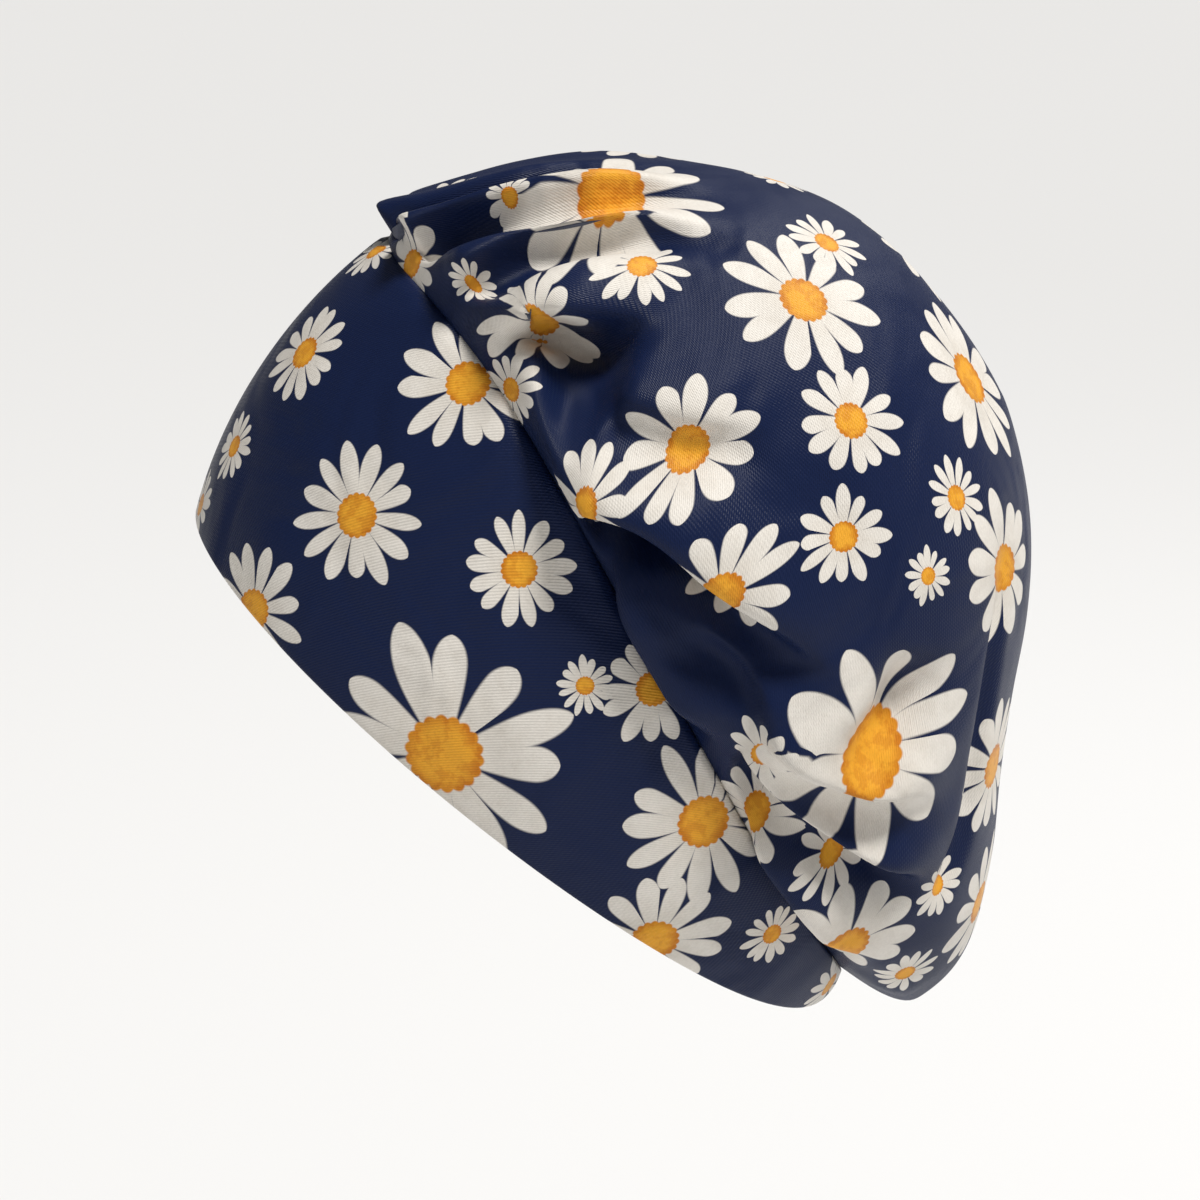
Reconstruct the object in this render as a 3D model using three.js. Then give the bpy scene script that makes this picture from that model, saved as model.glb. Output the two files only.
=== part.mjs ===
// Scrub cap in printed stretch knit: a wide fitted headband, deep over the forehead and narrow at the
// nape, and a full soft crown gathered onto it that slouches down behind. It has the form it takes on
// a head. Millimetres, +Z up, the forehead faces -Y and the wearer's left is +X. The origin is the
// middle of the head opening.
import * as THREE from 'three';
import { ParametricGeometry } from 'three/addons/geometries/ParametricGeometry.js';
import { mergeVertices } from 'three/addons/utils/BufferGeometryUtils.js';

// Hem, the lower edge of the band
const hemLength = 222; // forehead to nape, outside
const hemWidth = 151; // ear to ear, outside
const hemTilt = 39; // degrees that the hem falls from forehead to nape
const napeLift = 4.5; // how far the hem rises again at the nape
const napeLiftPower = 8; // the higher it is, the shorter is the stretch that rises

// Seam, the upper edge of the band, where the crown is sewn on
const seamLength = 237.4; // centre front to nape, outside
const seamWidth = 148; // side to side, outside
const seamTilt = 59.2; // degrees that the seam plane falls from front to nape
const seamBow = 13; // how far the seam bows back at the temples
const bowFade = 60; // degrees from the seam plane at which the crown has lost that bow
const seamGap = 0.4; // between the two edges that the seam joins

// Band
const bandNape = 5; // height of the band at the nape
const bandNapeLean = 15; // degrees that it leans back there
const bandFrontBulge = 7.6; // how far it rounds out between hem and seam at the forehead
const bandSideBulge = 5.5; // the same over the ears
const bandWall = 2; // two layers of knit
const middleBack = 0.09; // middle of the head behind the origin, as a share of hemLength
const middleUp = 0.135; // the same, above the origin

// Crown, measured from the seam plane
const crownDepth = 117; // how far the bag reaches back and up
const crownTopPuff = 4; // how far it stands beyond the seam at the top
const crownSidePuff = 12; // the same at the sides
const crownNapePuff = 17.3; // the same at the nape, where the bag sags
const crownWall = 1.4; // thickness of the knit
const puffAngle = 6; // degrees from the seam plane in which the crown swells to its full girth
const steadyAngle = 9; // degrees from the seam plane up to which folds rise straight out from it
const foldHeight = 10; // the highest rolled fold
const foldWidth = 10; // half the width of the widest fold
const foldStart = 0.15; // share of its length in which a fold grows to its full height
const foldFade = 0.55; // share of its length from which it dies out again
const valleyPlace = 1.5; // from a ridge to the valley beside it, in half widths of the fold
const gatherHeight = 1.1; // small gathers along the seam
const gatherCount = 26; // gathers round the whole seam
const gatherReach = 16; // degrees from the seam plane at which they have faded

// Facets
const bandColumns = 72;
const bandRows = 4;
const crownColumns = 128;
const crownRows = 18;
const foldSteps = 12;
const rowCrowding = 0.6; // 0 spaces the crown's rows evenly, 1 draws them to the seam
const nearPole = 1; // degrees from the far end of the crown within which it counts as flat
const normalStep = 0.004; // how far apart a normal is measured
const sameVertex = 1e-4;

// How far the seam bows back, as a share of seamBow, by degrees round from the centre front
const seamBowTable = [
  { round: 0, bow: 0 },
  { round: 15, bow: 0.12 },
  { round: 30, bow: 0.5 },
  { round: 45, bow: 0.85 },
  { round: 60, bow: 1 },
  { round: 90, bow: 0.88 },
  { round: 120, bow: 0.58 },
  { round: 150, bow: 0.38 },
  { round: 180, bow: 0 },
];

// Radius of the crown about the middle of the seam, by degrees from the seam plane, as a share of the
// plain oval through its puffed girth and its depth, toward the top, the side and the nape
const crownTable = [
  { angle: 0, top: 1, side: 0.93, nape: 1 },
  { angle: 12, top: 0.995, side: 0.98, nape: 1.01 },
  { angle: 24, top: 0.993, side: 1.023, nape: 0.937 },
  { angle: 36, top: 1.0, side: 1.054, nape: 0.875 },
  { angle: 48, top: 1.02, side: 1.069, nape: 0.865 },
  { angle: 60, top: 1.04, side: 1.047, nape: 0.89 },
  { angle: 75, top: 1.025, side: 1.003, nape: 0.94 },
  { angle: 90, top: 1, side: 1, nape: 1 },
];

// Folds of the crown. Each path runs on a curve through three places, a place being degrees round from
// the centre front and degrees up from the seam plane. rise and dip are shares of foldHeight: the ridge,
// and the valley on its nape side if the path runs up from the seam. width is a share of foldWidth.
// right is how much of the fold the wearer's right has too.
const folds = [
  { name: 'pinch', path: [[-22, 4], [2, 4], [26, 4]], rise: 0.42, dip: 0, width: 0.6, right: 0 },
  { name: 'top_roll', path: [[-2, 2], [-2, 22], [0, 46]], rise: 0.15, dip: 0, width: 0.7, right: 0 },
  { name: 'near_roll', path: [[14, 2], [11, 20], [9, 48]], rise: 0.4, dip: 0.6, width: 0.75, right: 0.4 },
  { name: 'third_roll', path: [[31, 1], [28, 20], [34, 46]], rise: 0.6, dip: 0.6, width: 0.75, right: 0.6 },
  { name: 'deep_roll', path: [[45, 1], [45, 12], [54, 28]], rise: 0.95, dip: 1.2, width: 1, right: 0.8 },
  { name: 'belly_fold', path: [[70, 1], [82, 15], [98, 27]], rise: 0.6, dip: 0.6, width: 0.85, right: 1 },
  { name: 'seam_roll', path: [[78, 2], [90, 4], [103, 7]], rise: 0.35, dip: 0, width: 0.7, right: 1 },
  { name: 'long_valley', path: [[92, 9], [111, 16], [136, 28]], rise: -0.9, dip: 0, width: 1, right: 1 },
  { name: 'low_roll', path: [[94, 3], [114, 11], [144, 19]], rise: 0.65, dip: 0.55, width: 0.75, right: 0.9 },
  { name: 'tail_ridge', path: [[102, 2], [117, 5], [137, 11]], rise: 0.45, dip: 0.3, width: 0.7, right: 1 },
  { name: 'dimple', path: [[106, 30], [113, 34], [121, 39]], rise: -0.7, dip: 0, width: 0.9, right: 0.5 },
  { name: 'far_edge', path: [[144, 15], [139, 44], [104, 72]], rise: 0.3, dip: 0.2, width: 0.8, right: 0.6 },
];

const radians = THREE.MathUtils.degToRad;
const straightBack = Math.PI / 2;
const ease = (t) => THREE.MathUtils.smoothstep(t, 0, 1);

// Smooth value of a column of a table at a place between its rows
function readTable(table, place, column, at) {
  const last = table.length - 1;
  let i = 0;
  while (i < last - 1 && at > table[i + 1][place]) i++;
  const slope = (j) => {
    const before = table[Math.max(j - 1, 0)];
    const after = table[Math.min(j + 1, last)];
    return (after[column] - before[column]) / (after[place] - before[place]);
  };
  const span = table[i + 1][place] - table[i][place];
  const t = THREE.MathUtils.clamp((at - table[i][place]) / span, 0, 1);
  const ahead = t * t * (3 - 2 * t);
  return table[i][column] * (1 - ahead) + table[i + 1][column] * ahead
    + span * t * (1 - t) * (slope(i) * (1 - t) - slope(i + 1) * t);
}

// The seam plane: its two ends in the middle plane of the cap, its centre and its directions
const tilt = radians(hemTilt);
const napeHem = new THREE.Vector3(
  0,
  hemLength / 2 * Math.cos(tilt),
  napeLift - hemLength / 2 * Math.sin(tilt),
);
const lean = radians(bandNapeLean);
const seamNape = new THREE.Vector3(0, Math.sin(lean), Math.cos(lean)).multiplyScalar(bandNape).add(napeHem);
const seamUp = new THREE.Vector3(0, -Math.cos(radians(seamTilt)), Math.sin(radians(seamTilt)));
const seamAxis = new THREE.Vector3(0, seamUp.z, -seamUp.y);
const seamCentre = seamNape.clone().addScaledVector(seamUp, seamLength / 2);
const headMiddle = new THREE.Vector3(0, middleBack * hemLength, middleUp * hemLength);

function onSeamPlane(across, upward, deep) {
  return seamCentre.clone().addScaledVector(seamUp, upward).addScaledVector(seamAxis, deep).setX(across);
}

function bowAt(round) {
  const turn = THREE.MathUtils.euclideanModulo(round, 2 * Math.PI);
  const degrees = THREE.MathUtils.radToDeg(Math.min(turn, 2 * Math.PI - turn));
  return seamBow * readTable(seamBowTable, 'round', 'bow', degrees);
}

// A point of the hem and one of the seam, by the angle round from the centre front
function hemPoint(round) {
  const along = -Math.cos(round) * hemLength / 2;
  const lift = napeLift * Math.max(-Math.cos(round), 0) ** napeLiftPower;
  return new THREE.Vector3(
    Math.sin(round) * hemWidth / 2,
    along * Math.cos(tilt),
    lift - along * Math.sin(tilt),
  );
}

function seamPoint(round) {
  return onSeamPlane(Math.sin(round) * seamWidth / 2, Math.cos(round) * seamLength / 2, bowAt(round));
}

// The outside of the band, height running from 0 at the hem to 1 at the seam
function bandSurface(round, height) {
  const point = hemPoint(round).lerp(seamPoint(round), height);
  const outward = point.clone().sub(headMiddle).normalize();
  const front = Math.max(Math.cos(round), 0) ** 2;
  const bulge = THREE.MathUtils.lerp(bandSideBulge, bandFrontBulge, front)
    * Math.sqrt((1 + Math.cos(round)) / 2);
  return point.addScaledVector(outward, bulge * 4 * height * (1 - height));
}

// The crown without its folds, angle running from 0 at the seam to a right angle at its far end
function crownForm(round, angle) {
  const degrees = THREE.MathUtils.radToDeg(angle);
  const swell = Math.sin(Math.min(degrees / puffAngle, 1) * straightBack);
  const radius = (atSeam, puff, column) => {
    const oval = 1 / Math.hypot(Math.cos(angle) / (atSeam + puff), Math.sin(angle) / crownDepth);
    return THREE.MathUtils.lerp(atSeam, oval * readTable(crownTable, 'angle', column, degrees), swell);
  };
  const across = Math.sin(round);
  const upward = Math.cos(round);
  const middle = upward > 0
    ? radius(seamLength / 2, crownTopPuff, 'top')
    : radius(seamLength / 2, crownNapePuff, 'nape');
  const side = radius(seamWidth / 2, crownSidePuff, 'side');
  const bow = bowAt(round) * (1 - ease(degrees / bowFade));
  const deep = (middle * upward ** 2 + side * across ** 2) * Math.sin(angle) + bow + seamGap;
  return onSeamPlane(side * Math.cos(angle) * across, middle * Math.cos(angle) * upward, deep);
}

// Unit normal of a surface of two angles or shares, facing out of the cap
function outwardNormal(surface, a, b, step) {
  const alongA = surface(a + step, b).sub(surface(a - step, b));
  const alongB = surface(a, b + step).sub(surface(a, b - step));
  return alongA.cross(alongB).normalize();
}

function crownNormal(surface, round, angle) {
  if (angle > straightBack - radians(nearPole)) return seamAxis.clone();
  return outwardNormal(surface, round, Math.max(angle, normalStep), normalStep);
}

// The line of each fold on the wearer's left, on the plain crown
function foldLine(row) {
  const [from, through, to] = row.path;
  const bend = (k, t) => (1 - t) * (1 - 2 * t) * from[k]
    + 4 * t * (1 - t) * through[k] + t * (2 * t - 1) * to[k];
  const points = [];
  for (let i = 0; i <= foldSteps; i++) {
    const t = i / foldSteps;
    points.push(crownForm(radians(bend(0, t)), radians(bend(1, t))));
  }
  return { row, points };
}

const foldLines = folds.map(foldLine);

// How far one fold lifts a point of the plain crown
function foldLift({ row, points }, point, normal) {
  let best = { away: Infinity };
  for (let i = 0; i < foldSteps; i++) {
    const run = points[i + 1].clone().sub(points[i]);
    const offset = point.clone().sub(points[i]);
    const t = THREE.MathUtils.clamp(offset.dot(run) / run.lengthSq(), 0, 1);
    offset.addScaledVector(run, -t);
    const away = offset.length();
    if (away < best.away) best = { away, offset, run, at: (i + t) / foldSteps };
  }
  const across = normal.clone().cross(best.run);
  const signed = best.away * -Math.sign(across.dot(best.offset));
  const width = row.width * foldWidth;
  const bump = (distance) => Math.exp(-((distance / width) ** 2));
  const taper = ease(best.at / foldStart) * (1 - ease((best.at - foldFade) / (1 - foldFade)));
  return foldHeight * taper * (row.rise * bump(signed) - row.dip * bump(signed - valleyPlace * width));
}

// The crown with its folds. Beside the seam they rise straight out from it, not forward over the band
function crownSurface(round, angle) {
  const point = crownForm(round, angle);
  const normal = crownNormal(crownForm, round, Math.max(angle, radians(steadyAngle)));
  const mirrored = point.clone().setX(-point.x);
  const mirroredNormal = normal.clone().setX(-normal.x);
  let lift = 0;
  for (const line of foldLines) {
    lift += foldLift(line, point, normal) + line.row.right * foldLift(line, mirrored, mirroredNormal);
  }
  const degrees = THREE.MathUtils.radToDeg(angle);
  const fading = 1 - ease(degrees / gatherReach);
  lift += gatherHeight * fading * Math.cos(gatherCount * round);
  return point.addScaledVector(normal, lift * ease(degrees / puffAngle));
}

// A closed wall: the outside from its first row to its last, then the inside back to where it began
function clothWall(columns, rows, outside, inside) {
  const steps = 2 * rows + 2;
  const around = (u, v, target) => {
    const i = Math.round(v * steps) % steps;
    const round = 2 * Math.PI * (u % 1);
    target.copy(i <= rows ? outside(round, i / rows) : inside(round, (2 * rows + 1 - i) / rows));
  };
  const geometry = new ParametricGeometry(around, columns, steps);
  geometry.deleteAttribute('normal');
  geometry.deleteAttribute('uv');
  return withoutCollapsed(mergeVertices(geometry, sameVertex));
}

// Drops the facets that a pole has drawn to a line
function withoutCollapsed(geometry) {
  const old = geometry.getIndex().array;
  const kept = [];
  for (let i = 0; i < old.length; i += 3) {
    const [a, b, c] = [old[i], old[i + 1], old[i + 2]];
    if (a !== b && b !== c && c !== a) kept.push(a, b, c);
  }
  geometry.setIndex(kept);
  geometry.computeVertexNormals();
  return geometry;
}

function headband() {
  const inside = (round, height) => {
    const within = THREE.MathUtils.clamp(height, normalStep, 1 - normalStep);
    const normal = outwardNormal(bandSurface, round, within, normalStep);
    return bandSurface(round, height).addScaledVector(normal, -bandWall);
  };
  const geometry = clothWall(bandColumns, bandRows, bandSurface, inside);
  const material = new THREE.MeshStandardMaterial({ color: 0x1b2654, roughness: 0.7, metalness: 0 });
  const mesh = new THREE.Mesh(geometry, material);
  mesh.name = 'headband';
  return mesh;
}

function crown() {
  // Rows lie closer together near the seam, where the folds are
  const angleAt = (share) => straightBack * share * (1 - rowCrowding + rowCrowding * share);
  const outside = (round, share) => crownSurface(round, angleAt(share));
  const inside = (round, share) => {
    const angle = angleAt(share);
    const normal = crownNormal(crownSurface, round, angle);
    return crownSurface(round, angle).addScaledVector(normal, -crownWall);
  };
  const geometry = clothWall(crownColumns, crownRows, outside, inside);
  const material = new THREE.MeshStandardMaterial({ color: 0x1b2654, roughness: 0.7, metalness: 0 });
  const mesh = new THREE.Mesh(geometry, material);
  mesh.name = 'crown';
  return mesh;
}

const cap = new THREE.Group();
cap.add(headband(), crown());

export default cap;
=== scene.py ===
# Scrub cap in daisy-print stretch knit, shown as it sits on a head.
# The dictionaries hold millimetres and degrees; the meshes are in metres.
import bpy
import bmesh
import math
import random
import numpy as np
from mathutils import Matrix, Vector
from mathutils.bvhtree import BVHTree


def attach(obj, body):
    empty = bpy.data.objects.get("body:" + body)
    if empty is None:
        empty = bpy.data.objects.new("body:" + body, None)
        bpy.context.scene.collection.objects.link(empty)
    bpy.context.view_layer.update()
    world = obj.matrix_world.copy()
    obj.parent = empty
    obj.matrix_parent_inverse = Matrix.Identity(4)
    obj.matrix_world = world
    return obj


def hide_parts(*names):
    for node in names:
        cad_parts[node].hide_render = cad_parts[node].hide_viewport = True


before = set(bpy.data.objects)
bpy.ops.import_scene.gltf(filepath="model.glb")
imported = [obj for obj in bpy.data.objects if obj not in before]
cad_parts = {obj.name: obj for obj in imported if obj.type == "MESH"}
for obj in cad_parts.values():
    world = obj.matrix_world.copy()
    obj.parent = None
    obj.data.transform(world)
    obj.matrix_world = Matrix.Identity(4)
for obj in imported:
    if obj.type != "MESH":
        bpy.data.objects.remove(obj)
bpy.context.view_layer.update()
mm = 0.001
fullTurn = 2 * math.pi

photoSide = 1200  # pixels
photoView = dict(
    rise=16.5, turn=0.0, distance=850, pixelsPerMm=3.7, aim=(0, 21.6, 43.6), sensor=36, farClip=30000,
)
studio = dict(
    floorDrop=330, floorSide=40000, floorColour=(0.8, 0.8, 0.8), floorRoughness=0.9,
    worldColour=(1, 1, 1), worldStrength=0.15,
)
sunLamp = dict(place=(270, 380, 1000), strength=3.15, softness=14, colour=(1.0, 0.985, 0.96))
lamps = [
    dict(name="fillLamp", place=(1300, -900, 250), side=1200, power=1, colour=(0.96, 0.98, 1.0)),
    dict(name="backLamp", place=(-700, 700, 1000), side=900, power=5, colour=(1.0, 1.0, 1.0)),
]


def aimed(thing, place, target):
    thing.location = place
    thing.rotation_euler = (place - target).to_track_quat("Z", "Y").to_euler()
    bpy.context.scene.collection.objects.link(thing)
    return thing


def makeCamera():
    rise, turn = math.radians(photoView["rise"]), math.radians(photoView["turn"])
    back = Vector((math.cos(rise) * math.cos(turn), math.cos(rise) * math.sin(turn), math.sin(rise)))
    data = bpy.data.cameras.new("photoCamera")
    data.sensor_width = photoView["sensor"]
    data.lens = data.sensor_width * photoView["pixelsPerMm"] * photoView["distance"] / photoSide
    data.clip_end = photoView["farClip"] * mm
    target = Vector(photoView["aim"]) * mm
    place = target + back * photoView["distance"] * mm
    camera = aimed(bpy.data.objects.new("photoCamera", data), place, target)
    bpy.context.scene.camera = camera
    bpy.context.view_layer.update()
    return camera


def makeLamps():
    target = Vector(photoView["aim"]) * mm
    data = bpy.data.lights.new("sunLamp", "SUN")
    data.energy = sunLamp["strength"]
    data.angle = math.radians(sunLamp["softness"])
    data.color = sunLamp["colour"]
    aimed(bpy.data.objects.new("sunLamp", data), Vector(sunLamp["place"]) * mm, target)
    for lamp in lamps:
        data = bpy.data.lights.new(lamp["name"], "AREA")
        data.size = lamp["side"] * mm
        data.energy = lamp["power"]
        data.color = lamp["colour"]
        aimed(bpy.data.objects.new(lamp["name"], data), Vector(lamp["place"]) * mm, target)


def makeWorld():
    world = bpy.data.worlds.new("studioWorld")
    world.use_nodes = True
    sockets = world.node_tree.nodes["Background"].inputs
    sockets["Color"].default_value = (*studio["worldColour"], 1)
    sockets["Strength"].default_value = studio["worldStrength"]
    bpy.context.scene.world = world
    bpy.context.scene.view_settings.view_transform = "Standard"


def makeFloor():
    bm = bmesh.new()
    bmesh.ops.create_grid(bm, x_segments=1, y_segments=1, size=studio["floorSide"] * mm / 2)
    bmesh.ops.translate(bm, vec=(0, 0, -studio["floorDrop"] * mm), verts=bm.verts)
    mesh = bpy.data.meshes.new("floor")
    bm.to_mesh(mesh)
    bm.free()
    floor = bpy.data.objects.new("floor", mesh)
    bpy.context.scene.collection.objects.link(floor)
    paint = bpy.data.materials.new("floorPaint")
    paint.use_nodes = True
    sockets = paint.node_tree.nodes["Principled BSDF"].inputs
    sockets["Base Color"].default_value = (*studio["floorColour"], 1)
    sockets["Roughness"].default_value = studio["floorRoughness"]
    mesh.materials.append(paint)


camera = makeCamera()
makeLamps()
makeWorld()
makeFloor()
print("camera, floor and lamps are in place")


# The form of the cap on a head, from the hem of the band to the far end of the bag.
# turnInShare is a share of the band's height, headMiddle is in shares of the hem's length.
cap = dict(
    hemLength=222, hemWidth=151, hemTilt=39, napeLift=4.5, napeSharpness=8,
    seamLength=237.4, seamWidth=148, seamTilt=59.2, seamBow=13, bowReach=60, seamGap=-0.5,
    bandNape=5, bandNapeLean=15, bandFrontBulge=7.6, bandSideBulge=5.5,
    crownDepth=118, crownTopPuff=4, crownSidePuff=12, crownNapePuff=17.3, puffAngle=6,
    seamTurnIn=1.3, turnInShare=0.05, headMiddle=(0, 0.09, 0.135),
    gatherHeight=0.8, gatherCount=26, gatherReach=14,
)
# degrees round from the centre front, share of seamBow
seamBowTable = [
    (0, 0), (15, 0.12), (30, 0.5), (45, 0.85), (60, 1), (90, 0.88), (120, 0.58), (150, 0.38), (180, 0),
]
# degrees up from the seam plane, shares toward the top, the side and the nape
crownTable = [
    (0, 1, 0.93, 1), (12, 0.995, 0.98, 1.01), (24, 0.995, 1.023, 0.937), (36, 1.003, 1.054, 0.875),
    (48, 1.02, 1.069, 0.865), (60, 1.035, 1.05, 0.9), (75, 1.015, 1.008, 0.955), (90, 1, 1, 1),
]


def ease(t):
    t = np.clip(t, 0, 1)
    return t * t * (3 - 2 * t)


def readTable(table, column, at):
    # smooth value of a column at places between the rows
    rows = np.array(table, float)
    x, y = rows[:, 0], rows[:, column]
    last = len(x) - 1
    i = np.clip(np.searchsorted(x, at) - 1, 0, last - 1)
    low, high = np.maximum(np.arange(last + 1) - 1, 0), np.minimum(np.arange(last + 1) + 1, last)
    slope = (y[high] - y[low]) / (x[high] - x[low])
    span = x[i + 1] - x[i]
    t = np.clip((at - x[i]) / span, 0, 1)
    ahead = ease(t)
    between = y[i] * (1 - ahead) + y[i + 1] * ahead
    return between + span * t * (1 - t) * (slope[i] * (1 - t) - slope[i + 1] * t)


hemSlope, napeLean, seamSlope = (math.radians(cap[k]) for k in ("hemTilt", "bandNapeLean", "seamTilt"))
halfHem = cap["hemLength"] / 2
napeHem = np.array([0, halfHem * math.cos(hemSlope), cap["napeLift"] - halfHem * math.sin(hemSlope)])
seamNape = napeHem + cap["bandNape"] * np.array([0, math.sin(napeLean), math.cos(napeLean)])
seamUp = np.array([0, -math.cos(seamSlope), math.sin(seamSlope)])
seamAxis = np.array([0, seamUp[2], -seamUp[1]])
seamCentre = seamNape + seamUp * cap["seamLength"] / 2
headMiddle = np.array(cap["headMiddle"]) * cap["hemLength"]


def onSeamPlane(across, upward, deep):
    points = seamCentre + upward[..., None] * seamUp + deep[..., None] * seamAxis
    points[..., 0] = across
    return points


def bowAt(turn):
    degrees = np.degrees(np.abs((turn + math.pi) % fullTurn - math.pi))
    return cap["seamBow"] * readTable(seamBowTable, 1, degrees)


def hemPoints(turn):
    along = -np.cos(turn) * cap["hemLength"] / 2
    lift = cap["napeLift"] * np.clip(-np.cos(turn), 0, 1) ** cap["napeSharpness"]
    side = np.sin(turn) * cap["hemWidth"] / 2
    return np.stack([side, along * math.cos(hemSlope), lift - along * math.sin(hemSlope)], -1)


def seamPoints(turn):
    across = np.sin(turn) * cap["seamWidth"] / 2
    upward = np.cos(turn) * cap["seamLength"] / 2
    return onSeamPlane(across, upward, bowAt(turn))


def bandForm(turn, height):
    share = height[..., None]
    points = hemPoints(turn) * (1 - share) + seamPoints(turn) * share
    outward = points - headMiddle
    outward /= np.linalg.norm(outward, axis=-1, keepdims=True)
    front = np.clip(np.cos(turn), 0, 1) ** 2
    bulge = cap["bandSideBulge"] + (cap["bandFrontBulge"] - cap["bandSideBulge"]) * front
    bulge = bulge * np.sqrt((1 + np.cos(turn)) / 2)
    last = cap["turnInShare"]
    turnedIn = cap["seamTurnIn"] * ease(share / last - (1 / last - 1))
    return points + outward * (bulge[..., None] * 4 * share * (1 - share) - turnedIn)


def crownForm(turn, angle):
    degrees = np.degrees(angle)
    swell = np.sin(np.clip(degrees / cap["puffAngle"], 0, 1) * math.pi / 2)

    def radius(atSeam, puff, column):
        oval = 1 / np.hypot(np.cos(angle) / (atSeam + puff), np.sin(angle) / cap["crownDepth"])
        start = atSeam - cap["seamTurnIn"]
        return start + (oval * readTable(crownTable, column, degrees) - start) * swell

    across, upward = np.sin(turn), np.cos(turn)
    top = radius(cap["seamLength"] / 2, cap["crownTopPuff"], 1)
    nape = radius(cap["seamLength"] / 2, cap["crownNapePuff"], 3)
    middle = np.where(upward > 0, top, nape)
    side = radius(cap["seamWidth"] / 2, cap["crownSidePuff"], 2)
    deep = (middle * upward ** 2 + side * across ** 2) * np.sin(angle)
    deep = deep + bowAt(turn) * (1 - ease(degrees / cap["bowReach"])) + cap["seamGap"]
    return onSeamPlane(side * np.cos(angle) * across, middle * np.cos(angle) * upward, deep)


normalStep = 0.004  # radians, or a share of the band's height
leastLength = 1e-12  # keeps divisions by a length away from zero


def formNormals(form, a, b):
    alongA = form(a + normalStep, b) - form(a - normalStep, b)
    alongB = form(a, b + normalStep) - form(a, b - normalStep)
    normals = np.cross(alongA, alongB)
    return normals / np.maximum(np.linalg.norm(normals, axis=-1, keepdims=True), leastLength)


# Folds of the crown. path: places in degrees round from the centre front and up from the seam plane.
# Across each path, in millimetres: a ridge that rises, rolls over toward the nape and dips beside it.
# grow and fade are shares of the path, valley and front are shares of the width, and right is how
# much of the fold the other side has. foldShape has what a fold doesn't say.
crownFolds = [
    dict(name="pinch", path=[(-24, 5), (0, 5), (24, 5)],
         rise=1.5, over=8, dip=0, width=5, right=0, grow=0.4, fade=0.6),
    dict(name="topRoll", path=[(0, 3), (5, 8), (5, 16), (3, 26), (2, 40)],
         rise=3, over=3.5, dip=8, width=4.5, right=0, grow=0.1, valley=0.8),
    dict(name="navyRoll", path=[(15, 3), (14, 9), (15, 23), (13, 44)],
         rise=9, over=9, dip=9, width=6.5, right=0.4, grow=0.1, fade=0.7, valley=0.55, front=0.9),
    dict(name="thirdRoll", path=[(29, 1), (26, 7), (23, 18), (24, 30), (30, 45)],
         rise=8, over=9, dip=10, width=6.5, right=0.6, grow=0.25, fade=0.6, valley=0.6, front=1.2),
    dict(name="deepRoll", path=[(43, 2), (39, 6), (36.5, 11), (37, 17), (41, 23), (48, 30)],
         rise=10, over=13.5, dip=14, width=9, right=0.5, grow=0.25, fade=0.7, valley=0.85),
    dict(name="pocket", path=[(52, 5), (53, 11), (56, 20)],
         rise=-9, over=0, dip=0, width=11, right=0.5, grow=0.35, fade=0.6),
    dict(name="softFold", path=[(54, 16), (60, 27), (66, 40)],
         rise=3, over=3, dip=5, width=8, right=1),
    dict(name="bellyFold", path=[(64, 0), (65, 8), (72, 18), (85, 25), (108, 33)],
         rise=9, over=11, dip=12, width=8.5, right=0.7, grow=0.06, fade=0.65),
    dict(name="seamRoll", path=[(72, 5), (82, 3), (92, 3), (100, 4)],
         rise=5, over=5, dip=0, width=5, right=1, grow=0.35, fade=0.65),
    dict(name="sideFold", path=[(84, 12), (92, 17), (104, 21)],
         rise=2.5, over=2, dip=4, width=6, right=1, grow=0.3),
    dict(name="bigRidge", path=[(93, 13), (101, 18), (112, 24), (123, 29), (136, 31)],
         rise=8, over=9, dip=9, width=9, right=0.8, grow=0.4),
    dict(name="dimple", path=[(108, 40), (113, 34), (111, 28), (104, 21)],
         rise=-10, over=0, dip=0, width=6.5, right=0, grow=0.3),
    dict(name="lowRoll", path=[(99, 4), (101, 9), (109, 13), (118, 17), (129, 20), (140, 20)],
         rise=7, over=7.5, dip=9, width=7.5, right=0.9, grow=0.35, fade=0.7),
    dict(name="tailRoll", path=[(106, 3), (115, 4), (126, 5), (140, 6)],
         rise=5, over=7, dip=0, width=6, right=1, grow=0.35, fade=0.7),
    dict(name="farCrease", path=[(140, 15), (143, 33), (133, 52), (110, 70)],
         rise=-4.5, over=0, dip=0, width=2.6, right=0),
]
foldShape = dict(
    steps=30, front=1.5, tuckSide=0.5, valleyPlace=1.25, valley=0.75, grow=0.15, fade=0.55,
    hold=3, steady=9, poleFrom=89,
)


def foldLine(fold):
    # a smooth curve through the places of the path
    places = np.radians(np.array(fold["path"], float))
    ends = np.concatenate([2 * places[:1] - places[1:2], places, 2 * places[-1:] - places[-2:-1]])
    t = np.linspace(0, len(places) - 1, foldShape["steps"] + 1)
    i = np.minimum(t.astype(int), len(places) - 2)
    t = (t - i)[:, None]
    a, b, c, d = ends[i], ends[i + 1], ends[i + 2], ends[i + 3]
    squared = (2 * a - 5 * b + 4 * c - d) * t ** 2
    cubed = (3 * b - a - 3 * c + d) * t ** 3
    at = 0.5 * (2 * b + (c - a) * t + squared + cubed)
    return crownForm(at[:, 0], at[:, 1])


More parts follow.
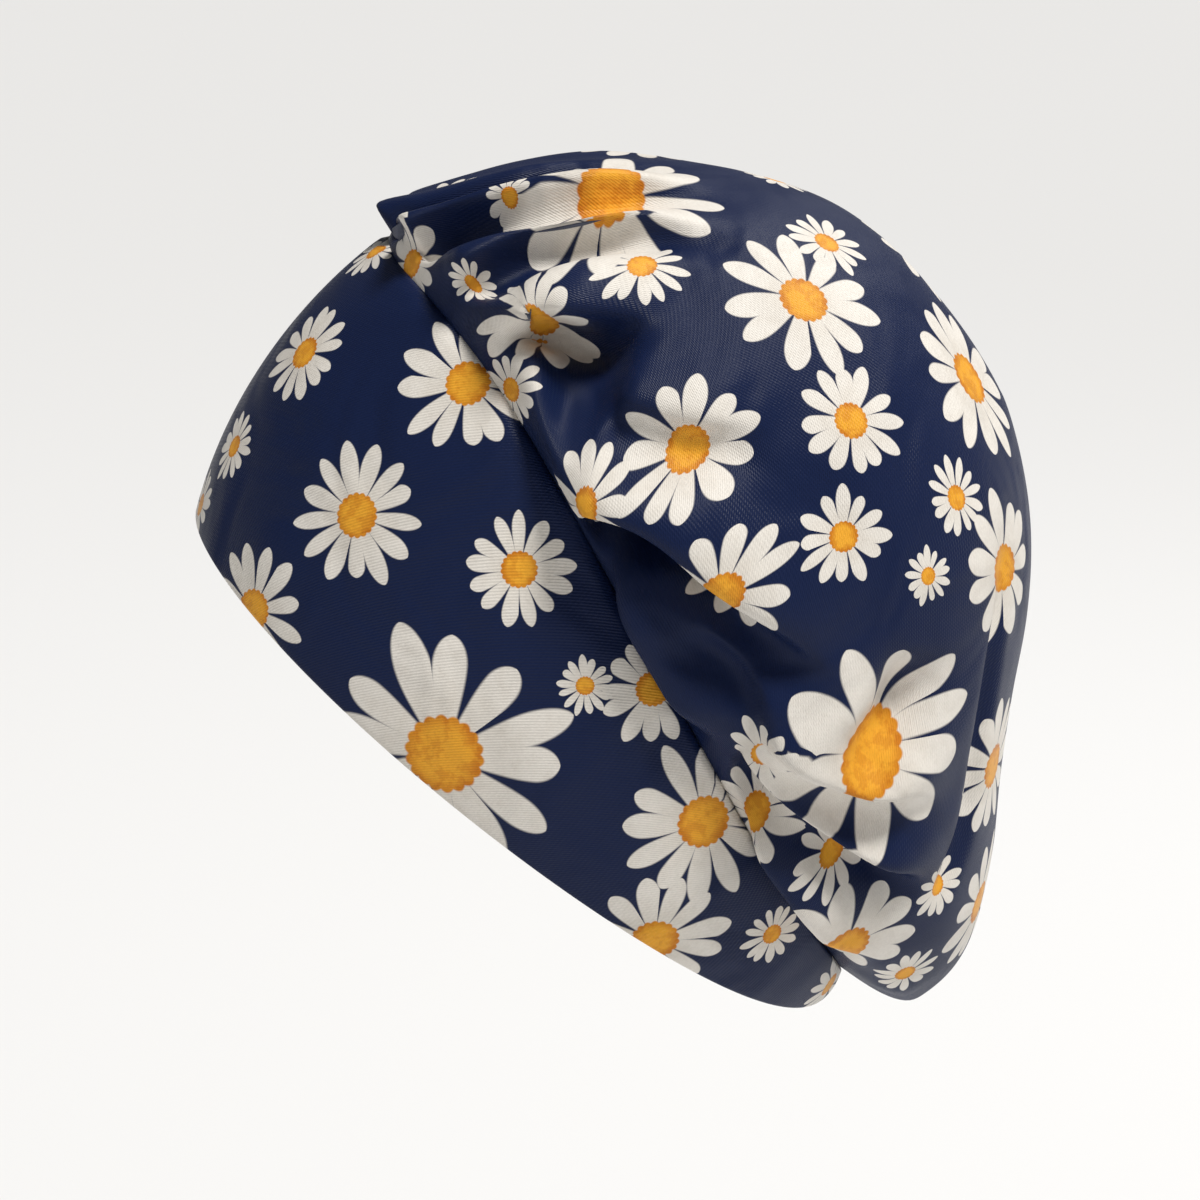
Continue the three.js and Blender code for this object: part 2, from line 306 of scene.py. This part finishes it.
def foldMoves(fold, line, points, normals):
    # how one fold moves each point
    fold = {**foldShape, **fold}
    steps = fold["steps"]
    best = np.full(len(points), np.inf)
    offset, run, at = np.zeros_like(points), np.zeros_like(points), np.zeros(len(points))
    for i in range(steps):
        step = line[i + 1] - line[i]
        away = points - line[i]
        t = np.clip(away @ step / (step @ step), 0, 1)
        away = away - t[:, None] * step
        distance = np.linalg.norm(away, axis=1)
        nearer = distance < best
        best[nearer], offset[nearer], run[nearer] = distance[nearer], away[nearer], step
        at[nearer] = ((i + t) / steps)[nearer]
    across = np.cross(run, normals)
    across /= np.maximum(np.linalg.norm(across, axis=1, keepdims=True), leastLength)
    signed = best * np.sign((across * offset).sum(1))
    width, fade = fold["width"], fold["fade"]
    taper = ease(at / fold["grow"]) * (1 - ease((at - fade) / (1 - fade)))
    side = np.where(signed < 0, fold["front"], fold["tuckSide"] if fold["over"] else 1)
    ridge = np.exp(-(signed / (width * side)) ** 2) * taper
    fromValley = signed / width - fold["valleyPlace"]
    valley = np.exp(-(fromValley / fold["valley"]) ** 2) * taper
    lift = fold["rise"] * ridge - fold["dip"] * valley
    return lift[:, None] * normals + (fold["over"] * ridge)[:, None] * across


def crownSurface(turn, angle):
    points = crownForm(turn, angle)
    poleFrom = math.radians(foldShape["poleFrom"])
    steady = np.clip(angle, math.radians(foldShape["steady"]), poleFrom)
    normals = formNormals(crownForm, turn, steady)
    normals[angle > poleFrom] = seamAxis
    moves = np.zeros_like(points)
    mirror = np.array([-1, 1, 1])
    for fold in crownFolds:
        line = foldLine(fold)
        moves += foldMoves(fold, line, points, normals)
        if fold["right"]:
            moves += fold["right"] * foldMoves(fold, line, points * mirror, normals * mirror) * mirror
    degrees = np.degrees(angle)
    fading = 1 - ease(degrees / cap["gatherReach"])
    moves += normals * (cap["gatherHeight"] * fading * np.cos(cap["gatherCount"] * turn))[:, None]
    return points + moves * ease(degrees / foldShape["hold"])[:, None]


def gridSheet(columns, rows):
    bm = bmesh.new()
    bm.loops.layers.uv.new("cloth")
    bmesh.ops.create_grid(bm, x_segments=columns, y_segments=rows, size=0.5, calc_uvs=True)
    shares = np.array([v.co[:2] for v in bm.verts]) + 0.5
    return bm, shares


def placeVerts(bm, points, plain):
    # the second set of places is the cloth before it is folded
    layer = bm.verts.layers.float_vector.new("plain")
    for v, point, before in zip(bm.verts, points * mm, plain * mm):
        v.co = point
        v[layer] = before


def finish(bm, name, materials):
    mesh = bpy.data.meshes.new(name)
    bm.to_mesh(mesh)
    bm.free()
    for material in materials:
        mesh.materials.append(material)
    mesh.shade_smooth()
    thing = bpy.data.objects.new(name, mesh)
    bpy.context.scene.collection.objects.link(thing)
    return thing


# Materials
knit = dict(
    navy=(0.0068, 0.0145, 0.056), petal=(0.82, 0.775, 0.71), petalShade=(0.70, 0.645, 0.57),
    disc=(0.86, 0.40, 0.035), discRim=(0.60, 0.20, 0.014), reverse=(0.10, 0.11, 0.15),
    roughness=0.4, specular=0.15, sheen=0.02, sheenRoughness=0.35,
    ribPitch=0.75, ribLean=0.62, ribSway=2.0, ribShare=0.6, columnPace=0.8, columnShare=0.4,
    ribDepth=0.1, ribShade=0.06, bumpStrength=0.55, speckles=1400.0, speckleShare=1.2, speckleShade=0.2,
    mottles=260.0, creases=24.0, creaseWarp=0.8, creaseDepth=5.0, brightness=0.9,
    reverseMottle=0.35, reverseRoughness=0.8,
)
# A daisy. Its lengths are shares of its radius, fullness is petal widths to the space for one.
daisy = dict(
    shortest=0.8, widest=0.66, fullness=1.5, fuller=0.5, waist=0.42, point=0.52, lean=0.3, edge=0.014,
    edgeSoftness=0.9, disc=0.27, discEdge=0.01, scallops=18, scallopDepth=0.026, fewestPetals=5.0,
    seedSpread=37.7, rimWidth=0.04, rimSoftness=0.06, rimShade=0.7,
    # painted shade on the petals around the disc: how far out it reaches, how soft its edge is and how
    # dark it is
    paintedShadeReach=0.5, paintedShadeSoftness=0.2, paintedShadeStrength=0.4,
)
# where the mottle of the knit shows in the disc and on the petals
fleck = dict(
    discFrom=0.53, discSoftness=0.07, discShade=0.45,
    petalFrom=0.55, petalSoftness=0.12, petalShade=0.3,
)


class Nodes:
    # short hands for building a node tree
    def __init__(self, name):
        self.material = bpy.data.materials.new(name)
        self.material.use_nodes = True
        self.tree = self.material.node_tree
        self.shader = self.tree.nodes["Principled BSDF"]

    def add(self, kind, inputs=(), output=0, **settings):
        node = self.tree.nodes.new("ShaderNode" + kind)
        for key, value in settings.items():
            setattr(node, key, value)
        for place, value in dict(inputs).items():
            self.feed(node.inputs[place], value)
        return node.outputs[output]

    def feed(self, socket, value):
        if isinstance(value, bpy.types.NodeSocket):
            self.tree.links.new(value, socket)
        elif isinstance(value, tuple) and len(value) == 3 and socket.type == "RGBA":
            socket.default_value = (*value, 1)
        else:
            socket.default_value = value

    def calc(self, operation, *values):
        return self.add("Math", enumerate(values), operation=operation)

    def step(self, value, edge, soft):
        # 0 below the edge, 1 above it
        return self.add("MapRange", {"Value": value, "From Min": edge - soft, "From Max": edge + soft},
                        interpolation_type="SMOOTHSTEP")

    def split(self, vector):
        node = self.tree.nodes.new("ShaderNodeSeparateXYZ")
        self.tree.links.new(vector, node.inputs[0])
        return node.outputs[0], node.outputs[1]

    def noise(self, place, scale, detail, **inputs):
        return self.add("TexNoise", {"Vector": place, "Scale": scale, "Detail": detail, **inputs})

    def blend(self, share, a, b):
        return self.add("Mix", {0: share, 6: a, 7: b}, output=2, data_type="RGBA")


def knitTexture(n):
    # diagonal ribs of the knit, soft creases, and an unevenness in its colour
    x, y = n.split(n.add("UVMap", uv_map="cloth"))
    place = n.add("TexCoord", output=3)
    speckle = n.noise(place, knit["speckles"], 3.0, Roughness=0.7)
    mottle = n.noise(place, knit["mottles"], 3.0, Roughness=0.6)
    crease = n.noise(place, knit["creases"], 2.0, Distortion=knit["creaseWarp"])
    turns = fullTurn / (knit["ribPitch"] * mm)
    leaning = n.calc("MULTIPLY", y, turns * knit["ribLean"])
    diagonal = n.calc("ADD", n.calc("MULTIPLY", x, turns), leaning)
    rib = n.calc("SINE", n.calc("ADD", diagonal, n.calc("MULTIPLY", speckle, knit["ribSway"])))
    column = n.calc("SINE", n.calc("MULTIPLY", x, turns * knit["columnPace"]))
    ribHeight = n.calc("MULTIPLY", rib, knit["ribShare"])
    height = n.calc("ADD", ribHeight, n.calc("MULTIPLY", column, knit["columnShare"]))
    height = n.calc("ADD", height, n.calc("MULTIPLY", speckle, knit["speckleShare"]))
    wavy = n.add("Bump", {"Height": crease, "Strength": 1.0, "Distance": knit["creaseDepth"] * mm})
    bump = n.add("Bump", {
        "Height": height, "Strength": knit["bumpStrength"],
        "Distance": knit["ribDepth"] * mm, "Normal": wavy,
    })
    return bump, rib, speckle, mottle


def daisyLayer(n, layerName, mottle, below):
    # one layer of daisies over the colour below it
    x, y = n.split(n.add("UVMap", uv_map=layerName + "Daisy"))
    petals = n.add("Attribute", attribute_name=layerName + "Petals", output=2)
    petals = n.calc("MAXIMUM", petals, daisy["fewestPetals"])
    seed = n.add("Attribute", attribute_name=layerName + "Seed", output=2)
    out = n.calc("SQRT", n.calc("ADD", n.calc("MULTIPLY", x, x), n.calc("MULTIPLY", y, y)))
    around = n.calc("ARCTAN2", y, x)
    count = n.calc("MULTIPLY", around, n.calc("DIVIDE", petals, fullTurn))
    index = n.calc("ROUND", count)
    spreadSeed = n.calc("MULTIPLY", seed, daisy["seedSpread"])
    own = n.calc("ADD", n.calc("FLOORED_MODULO", index, petals), spreadSeed)
    chance, fuller, lean = (
        n.add("TexWhiteNoise", {"W": n.calc("ADD", own, shift)}, noise_dimensions="1D")
        for shift in (0.0, 0.25, 0.5)
    )
    lean = n.calc("MULTIPLY", n.calc("SUBTRACT", lean, 0.5), daisy["lean"])
    leaning = n.calc("ADD", n.calc("SUBTRACT", count, index), lean)
    swing = n.calc("MULTIPLY", leaning, n.calc("DIVIDE", fullTurn, petals))
    along = n.calc("MULTIPLY", out, n.calc("COSINE", swing))
    across = n.calc("ABSOLUTE", n.calc("MULTIPLY", out, n.calc("SINE", swing)))
    length = n.calc("ADD", daisy["shortest"], n.calc("MULTIPLY", chance, 1 - daisy["shortest"]))
    widest = daisy["widest"]
    full = n.calc("ADD", daisy["fullness"], n.calc("MULTIPLY", fuller, daisy["fuller"]))
    half = n.calc("DIVIDE", full, petals)
    opening = n.calc("MULTIPLY", n.step(along, widest / 2, widest / 2), 1 - daisy["waist"])
    inner = n.calc("ADD", daisy["waist"], opening)
    pastWidest = n.calc("MAXIMUM", n.calc("SUBTRACT", along, widest), 0.0)
    tip = n.calc("DIVIDE", pastWidest, n.calc("SUBTRACT", length, widest))
    closing = n.calc("MAXIMUM", n.calc("SUBTRACT", 1.0, n.calc("MULTIPLY", tip, tip)), 0.0)
    rounded = n.calc("POWER", closing, daisy["point"])
    spread = n.calc("MULTIPLY", n.calc("MULTIPLY", half, inner), rounded)
    edge = daisy["edge"]
    petal = n.step(n.calc("SUBTRACT", spread, across), edge, edge * daisy["edgeSoftness"])
    scallop = n.calc("ABSOLUTE", n.calc("SINE", n.calc("MULTIPLY", around, daisy["scallops"] / 2)))
    rim = n.calc("ADD", daisy["disc"], n.calc("MULTIPLY", scallop, daisy["scallopDepth"]))
    disc = n.step(n.calc("SUBTRACT", rim, out), 0.0, daisy["discEdge"])
    nearRim = n.step(out, daisy["disc"] - daisy["rimWidth"], daisy["rimSoftness"])
    rimShade = n.calc("MULTIPLY", nearRim, daisy["rimShade"])
    flecks = n.step(mottle, fleck["discFrom"], fleck["discSoftness"])
    flecks = n.calc("MULTIPLY", flecks, fleck["discShade"])
    discShade = n.calc("MINIMUM", n.calc("ADD", rimShade, flecks), 1.0)
    discColour = n.blend(discShade, knit["disc"], knit["discRim"])
    # painted shade: the petals darken toward the petal-shade colour close to the disc, on top of the
    # knit's mottle
    deep = n.step(n.calc("SUBTRACT", daisy["paintedShadeReach"], out), 0.0, daisy["paintedShadeSoftness"])
    deep = n.calc("MULTIPLY", deep, daisy["paintedShadeStrength"])
    flecks = n.step(mottle, fleck["petalFrom"], fleck["petalSoftness"])
    whiteShade = n.calc("ADD", deep, n.calc("MULTIPLY", flecks, fleck["petalShade"]))
    colour = n.blend(petal, below, n.blend(whiteShade, knit["petal"], knit["petalShade"]))
    return n.blend(disc, colour, discColour)


def daisyKnit(name):
    n = Nodes(name)
    bump, rib, speckle, mottle = knitTexture(n)
    colour = daisyLayer(n, "under", mottle, knit["navy"])
    colour = daisyLayer(n, "top", mottle, colour)
    ribShade = n.calc("MULTIPLY", rib, knit["ribShade"])
    speckleShade = n.calc("MULTIPLY", speckle, knit["speckleShade"])
    grain = n.calc("ADD", knit["brightness"], n.calc("ADD", speckleShade, ribShade))
    grain = n.add("CombineXYZ", {0: grain, 1: grain, 2: grain})
    colour = n.add("Mix", {0: 1.0, 6: colour, 7: grain}, output=2,
                   data_type="RGBA", blend_type="MULTIPLY")
    n.feed(n.shader.inputs["Base Color"], colour)
    n.feed(n.shader.inputs["Normal"], bump)
    n.shader.inputs["Roughness"].default_value = knit["roughness"]
    n.shader.inputs["Specular IOR Level"].default_value = knit["specular"]
    n.shader.inputs["Sheen Weight"].default_value = knit["sheen"]
    n.shader.inputs["Sheen Roughness"].default_value = knit["sheenRoughness"]
    return n.material


def plainReverse(name):
    n = Nodes(name)
    bump, rib, speckle, mottle = knitTexture(n)
    share = n.calc("MULTIPLY", mottle, knit["reverseMottle"])
    colour = n.blend(share, knit["reverse"], knit["navy"])
    n.feed(n.shader.inputs["Base Color"], colour)
    n.feed(n.shader.inputs["Normal"], bump)
    n.shader.inputs["Roughness"].default_value = knit["reverseRoughness"]
    return n.material


bandKnit = daisyKnit("bandKnit")
crownKnit = daisyKnit("crownKnit")
reverseKnit = plainReverse("reverseKnit")
print("knit materials are made")

weldReach = 0.00002  # metres

# Headband: one sheet folded at the hem, outside and inside. hemStep is a share of its height.
band = dict(columns=300, rows=48, turnRows=6, wall=2.0, hemStep=0.01, flatLength=590, flatRound=190)


def makeBand():
    rows = 2 * band["rows"] + band["turnRows"]
    bm, shares = gridSheet(band["columns"], rows)
    turn = (shares[:, 0] - 0.5) * fullTurn
    row = np.rint(shares[:, 1] * rows)
    outside = row <= band["rows"]
    inside = row >= band["rows"] + band["turnRows"]
    risen = (row - band["rows"] - band["turnRows"]) / band["rows"]
    height = np.where(outside, 1 - row / band["rows"], np.where(inside, risen, 0))
    points = bandForm(turn, height)
    normals = formNormals(bandForm, turn, np.clip(height, normalStep, 1 - normalStep))
    along = bandForm(turn, np.full_like(turn, band["hemStep"])) - bandForm(turn, np.zeros_like(turn))
    down = -along / np.linalg.norm(along, axis=1, keepdims=True)
    half = band["wall"] / 2
    swing = np.clip((row - band["rows"]) / band["turnRows"], 0, 1) * math.pi
    points = points - normals * (half * (1 - np.cos(swing)))[:, None]
    points = points + down * (half * np.sin(swing))[:, None]
    placeVerts(bm, points, points)
    for face in bm.faces:
        middle = sum(shares[v.index][1] for v in face.verts) / len(face.verts) * rows
        face.material_index = 1 if middle > band["rows"] + band["turnRows"] else 0
    bmesh.ops.remove_doubles(bm, verts=bm.verts, dist=weldReach)
    rims = [e for e in bm.edges if e.is_boundary]
    bmesh.ops.bridge_loops(bm, edges=rims)
    bmesh.ops.recalc_face_normals(bm, faces=bm.faces)
    return finish(bm, "dressedBand", [bandKnit, reverseKnit])


# Crown: a disc of knit gathered onto the band
crown = dict(
    columns=376, rows=130, wall=1.2, discRadius=190, closest=75, crowding=0.35,
    evenRows=0.5, rowPower=1.6, easing=5, easeFactor=0.5,
)


def makeCrown():
    bm, shares = gridSheet(crown["columns"], crown["rows"])
    turn = (shares[:, 0] - 0.5) * fullTurn
    turn -= crown["crowding"] * np.sin(turn - math.radians(crown["closest"]))
    up, even = shares[:, 1], crown["evenRows"]
    angle = (even * up + (1 - even) * up ** crown["rowPower"]) * math.pi / 2
    placeVerts(bm, crownSurface(turn, angle), crownForm(turn, angle))
    bmesh.ops.remove_doubles(bm, verts=bm.verts, dist=weldReach)
    free = [v for v in bm.verts if not v.is_boundary]
    for _ in range(crown["easing"]):
        bmesh.ops.smooth_vert(
            bm, verts=free, factor=crown["easeFactor"], use_axis_x=True, use_axis_y=True, use_axis_z=True,
        )
    bmesh.ops.recalc_face_normals(bm, faces=bm.faces)
    return finish(bm, "dressedCrown", [crownKnit, reverseKnit])


dressedBand = makeBand()
dressedCrown = makeCrown()
print("band and crown are shaped", len(dressedBand.data.polygons), len(dressedCrown.data.polygons))

# Daisies that the photograph shows: place and radius in its pixels, petals, and mm beyond the outline
bandDaisies = [
    (307, 350, 60, 13), (463, 382, 80, 12), (357, 512, 78, 13), (521, 574, 64, 13),
    (581, 684, 33, 14), (445, 757, 140, 12), (233, 450, 40, 13), (253, 605, 72, 12),
    (702, 818, 95, 12), (652, 938, 84, 12), (773, 934, 38, 13), (378, 250, 40, 12),
    (830, 985, 45, 12), (200, 505, 40, 12), (655, 692, 62, 12),
]
crownDaisies = [
    (511, 196, 30, 12), (411, 265, 52, 12), (644, 265, 50, 13), (610, 206, 125, 12),
    (430, 150, 80, 12, 40), (536, 322, 74, 11), (511, 387, 44, 12), (802, 300, 90, 11),
    (827, 242, 47, 13), (690, 445, 77, 11), (852, 422, 65, 12), (970, 378, 95, 12),
    (843, 535, 55, 12), (957, 499, 45, 13), (928, 577, 32, 13), (1000, 570, 85, 11),
    (723, 597, 76, 11), (584, 509, 64, 11), (476, 287, 28, 12), (865, 755, 124, 11),
    (754, 815, 60, 12), (993, 765, 80, 12), (937, 886, 38, 12), (979, 903, 75, 11),
    (765, 755, 50, 12), (835, 850, 45, 12), (846, 948, 85, 11), (905, 975, 38, 12),
    (775, 180, 40, 12),
]
laying = dict(
    reach=1.6, slant=0.6, rounds=110, pull=0.9, carry=0.88, least=0.8, most=1.25, kept=1.2,
    leastGap=1e-9, offDaisy=9.0, plainPetals=12.0,
)
scatter = dict(
    sizes=(31, 22, 17, 12.5, 9), sizeRange=(0.9, 1.1), petals=(11, 12, 13), tries=900, seed=11, gap=1.0,
    shownFrom=-6,
)


def photoRay(px, py):
    turnTo = camera.matrix_world.to_3x3()
    scale = photoView["pixelsPerMm"] * photoView["distance"]
    direction = Vector(((px - photoSide / 2) / scale, (photoSide / 2 - py) / scale, -1))
    return camera.location.copy(), (turnTo @ direction).normalized()


def noDaisies(faces):
    # what a layer of daisies holds for each face
    return dict(
        score=np.full(faces, np.inf), number=np.zeros(faces), seed=np.zeros(faces),
        flat=np.full((faces, 4, 2), laying["offDaisy"]), petals=np.full(faces, laying["plainPetals"]),
    )


class Cloth:
    # the outer faces of a piece, with what is needed to lay flat prints on them
    def __init__(self, thing):
        mesh = thing.data
        self.mesh = mesh
        self.points = np.array([v.co for v in mesh.vertices])
        self.plain = np.array([v.vector for v in mesh.attributes["plain"].data])
        self.faces = [f for f in mesh.polygons if f.material_index == 0]
        self.corners = np.array([(list(f.vertices) + [f.vertices[0]])[:4] for f in self.faces])
        self.starts = np.array([f.loop_start for f in self.faces])
        self.sides = np.array([len(f.vertices) for f in self.faces])
        ways = ((0, 1), (1, 2), (2, 3), (3, 0), (0, 2), (1, 3))
        pairs = np.concatenate([self.corners[:, way] for way in ways])
        self.pairs = np.unique(np.sort(pairs[pairs[:, 0] != pairs[:, 1]], axis=1), axis=0)
        i, j = self.pairs.T
        folded = np.linalg.norm(self.points[i] - self.points[j], axis=1)
        unfolded = np.linalg.norm(self.plain[i] - self.plain[j], axis=1)
        self.lengths = np.clip(folded, laying["least"] * unfolded, laying["most"] * unfolded)
        outer = [list(f.vertices) for f in self.faces]
        self.tree = BVHTree.FromPolygons([v.co for v in mesh.vertices], outer)
        self.near = [noDaisies(len(self.faces)) for _ in range(2)]

    def patch(self, face, radius, turn):
        # a round piece of the unfolded cloth laid flat, and each vert's place in it
        middle = self.plain[self.corners[face]].mean(0)
        a, b, c = self.plain[self.corners[face][:3]]
        normal = np.cross(b - a, c - a)
        normal /= np.linalg.norm(normal)
        side = np.cross(normal, (math.sin(turn), math.cos(turn) * laying["slant"], math.cos(turn)))
        side /= np.linalg.norm(side)
        offset = self.plain - middle
        away = np.linalg.norm(offset, axis=1)
        kept = np.flatnonzero(away < radius * laying["reach"])
        offset, away = offset[kept], away[kept]
        flat = np.stack([offset @ side, offset @ np.cross(normal, side)], 1)
        flat *= (away / np.maximum(np.linalg.norm(flat, axis=1), laying["leastGap"]))[:, None]
        place = np.full(len(self.plain), -1)
        place[kept] = np.arange(len(kept))
        return flat, place

    def eased(self, flat, place):
        # the flat piece drawn toward the folded cloth's lengths
        count = len(flat)
        ends = place[self.pairs]
        inside = (ends >= 0).all(1)
        (i, j), lengths = ends[inside].T, self.lengths[inside]
        share = 1 / np.maximum(np.bincount(i, minlength=count) + np.bincount(j, minlength=count), 1)
        speed = np.zeros_like(flat)
        for _ in range(laying["rounds"]):
            gap = flat[j] - flat[i]
            now = np.maximum(np.linalg.norm(gap, axis=1), laying["leastGap"])
            pull = gap * ((now - lengths) / now)[:, None]
            force = [np.bincount(i, p, count) - np.bincount(j, p, count) for p in pull.T]
            force = np.stack(force, 1)
            speed = speed * laying["carry"] + force * share[:, None] * laying["pull"]
            flat = flat + speed
        return flat

    def stamp(self, face, radius, petals, turn, seed, number):
        # one daisy, kept by the faces that have it as their nearest or second nearest
        flat, place = self.patch(face, radius, turn)
        flat = self.eased(flat, place)
        corners = place[self.corners]
        whole = np.flatnonzero((corners >= 0).all(1))
        flat = (flat - flat[corners[face]].mean(0)) / radius
        score = np.linalg.norm(flat[corners[whole]], axis=2).mean(1)
        first, second = self.near
        own = dict(score=score, number=number, flat=flat[corners[whole]], petals=petals, seed=seed)
        closest = score < np.minimum(first["score"][whole], laying["kept"])
        close = (score < np.minimum(second["score"][whole], laying["kept"])) & ~closest
        for key in own:
            value = np.broadcast_to(own[key], first[key][whole].shape)
            second[key][whole[closest]] = first[key][whole[closest]]
            first[key][whole[closest]] = value[closest]
            second[key][whole[close]] = value[close]

    def store(self):
        # the daisy stamped first lies on top
        first, second = self.near
        swap = second["number"] < first["number"]
        for key in first:
            first[key][swap], second[key][swap] = second[key][swap], first[key][swap].copy()
        for layerName, near in (("top", first), ("under", second)):
            flat = np.full((len(self.mesh.loops), 2), laying["offDaisy"])
            for k in range(4):
                has = self.sides > k
                flat[self.starts[has] + k] = near["flat"][has, k]
            layer = self.mesh.uv_layers.new(name=layerName + "Daisy")
            layer.uv.foreach_set("vector", flat.astype(np.float32).ravel())
            for name in ("petals", "seed"):
                values = np.zeros(len(self.mesh.polygons), np.float32)
                values[[f.index for f in self.faces]] = near[name]
                attribute = self.mesh.attributes.new(layerName + name.capitalize(), "FLOAT", "FACE")
                attribute.data.foreach_set("value", values)
        self.mesh.attributes.remove(self.mesh.attributes["plain"])


def printDaisies():
    chance = random.Random(scatter["seed"])
    cloths = [Cloth(dressedBand), Cloth(dressedCrown)]
    placed = []
    for own, chart in zip(cloths, (bandDaisies, crownDaisies)):
        for px, py, size, petals, *beyond in chart:
            origin, direction = photoRay(px, py)
            hit, _, face, distance = own.tree.ray_cast(origin, direction)
            if hit is None:
                # centred off the outline, so the cloth nearest to a place on the ray takes it
                away = (photoView["distance"] + sum(beyond)) * mm
                hit, _, face, _ = own.tree.find_nearest(origin + direction * away)
                distance = (hit - origin).length
            radius = size / photoView["pixelsPerMm"] * distance / photoView["distance"]
            own.stamp(face, radius, petals, chance.uniform(0, fullTurn), chance.random(), len(placed) + 1)
            placed.append((np.array(hit), radius))
    # the sides that the photograph hides
    for size in scatter["sizes"]:
        for _ in range(scatter["tries"]):
            own = chance.choice(cloths)
            face = chance.randrange(len(own.faces))
            centre = own.points[own.corners[face]].mean(0)
            if centre[0] > scatter["shownFrom"] * mm:
                continue
            radius = size * mm * chance.uniform(*scatter["sizeRange"])
            petals = chance.choice(scatter["petals"])
            turn, seed = chance.uniform(0, fullTurn), chance.random()
            if all(np.linalg.norm(centre - c) > (radius + r) * scatter["gap"] for c, r in placed):
                own.stamp(face, radius, petals, turn, seed, len(placed) + 1)
                placed.append((centre, radius))
    for own in cloths:
        own.store()
    return len(placed)


print("daisies printed:", printDaisies())


def weaveCoordinates(thing, flatPlace):
    # the cloth's own coordinates, in metres, for its ribs
    mesh = thing.data
    uv = np.empty(len(mesh.loops) * 2, np.float32)
    mesh.uv_layers["cloth"].uv.foreach_get("vector", uv)
    uv = flatPlace(uv.reshape(-1, 2))
    mesh.uv_layers["cloth"].uv.foreach_set("vector", uv.astype(np.float32).ravel())


def bandFlat(uv):
    return uv * np.array([band["flatLength"], band["flatRound"]]) * mm


def crownFlat(uv):
    turn, out = uv[:, 0] * fullTurn, (1 - uv[:, 1]) * crown["discRadius"] * mm
    return np.stack([np.sin(turn) * out, np.cos(turn) * out], 1)


weaveCoordinates(dressedBand, bandFlat)
weaveCoordinates(dressedCrown, crownFlat)
wall = dressedCrown.modifiers.new("wall", "SOLIDIFY")
wall.thickness = crown["wall"] * mm
wall.offset = -1
wall.material_offset = 1
wall.material_offset_rim = 0

for piece, node, slot in ((dressedBand, "headband", "band_knit"), (dressedCrown, "crown", "crown_knit")):
    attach(piece, "root")
    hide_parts(node)
print("pieces ride on the frame")
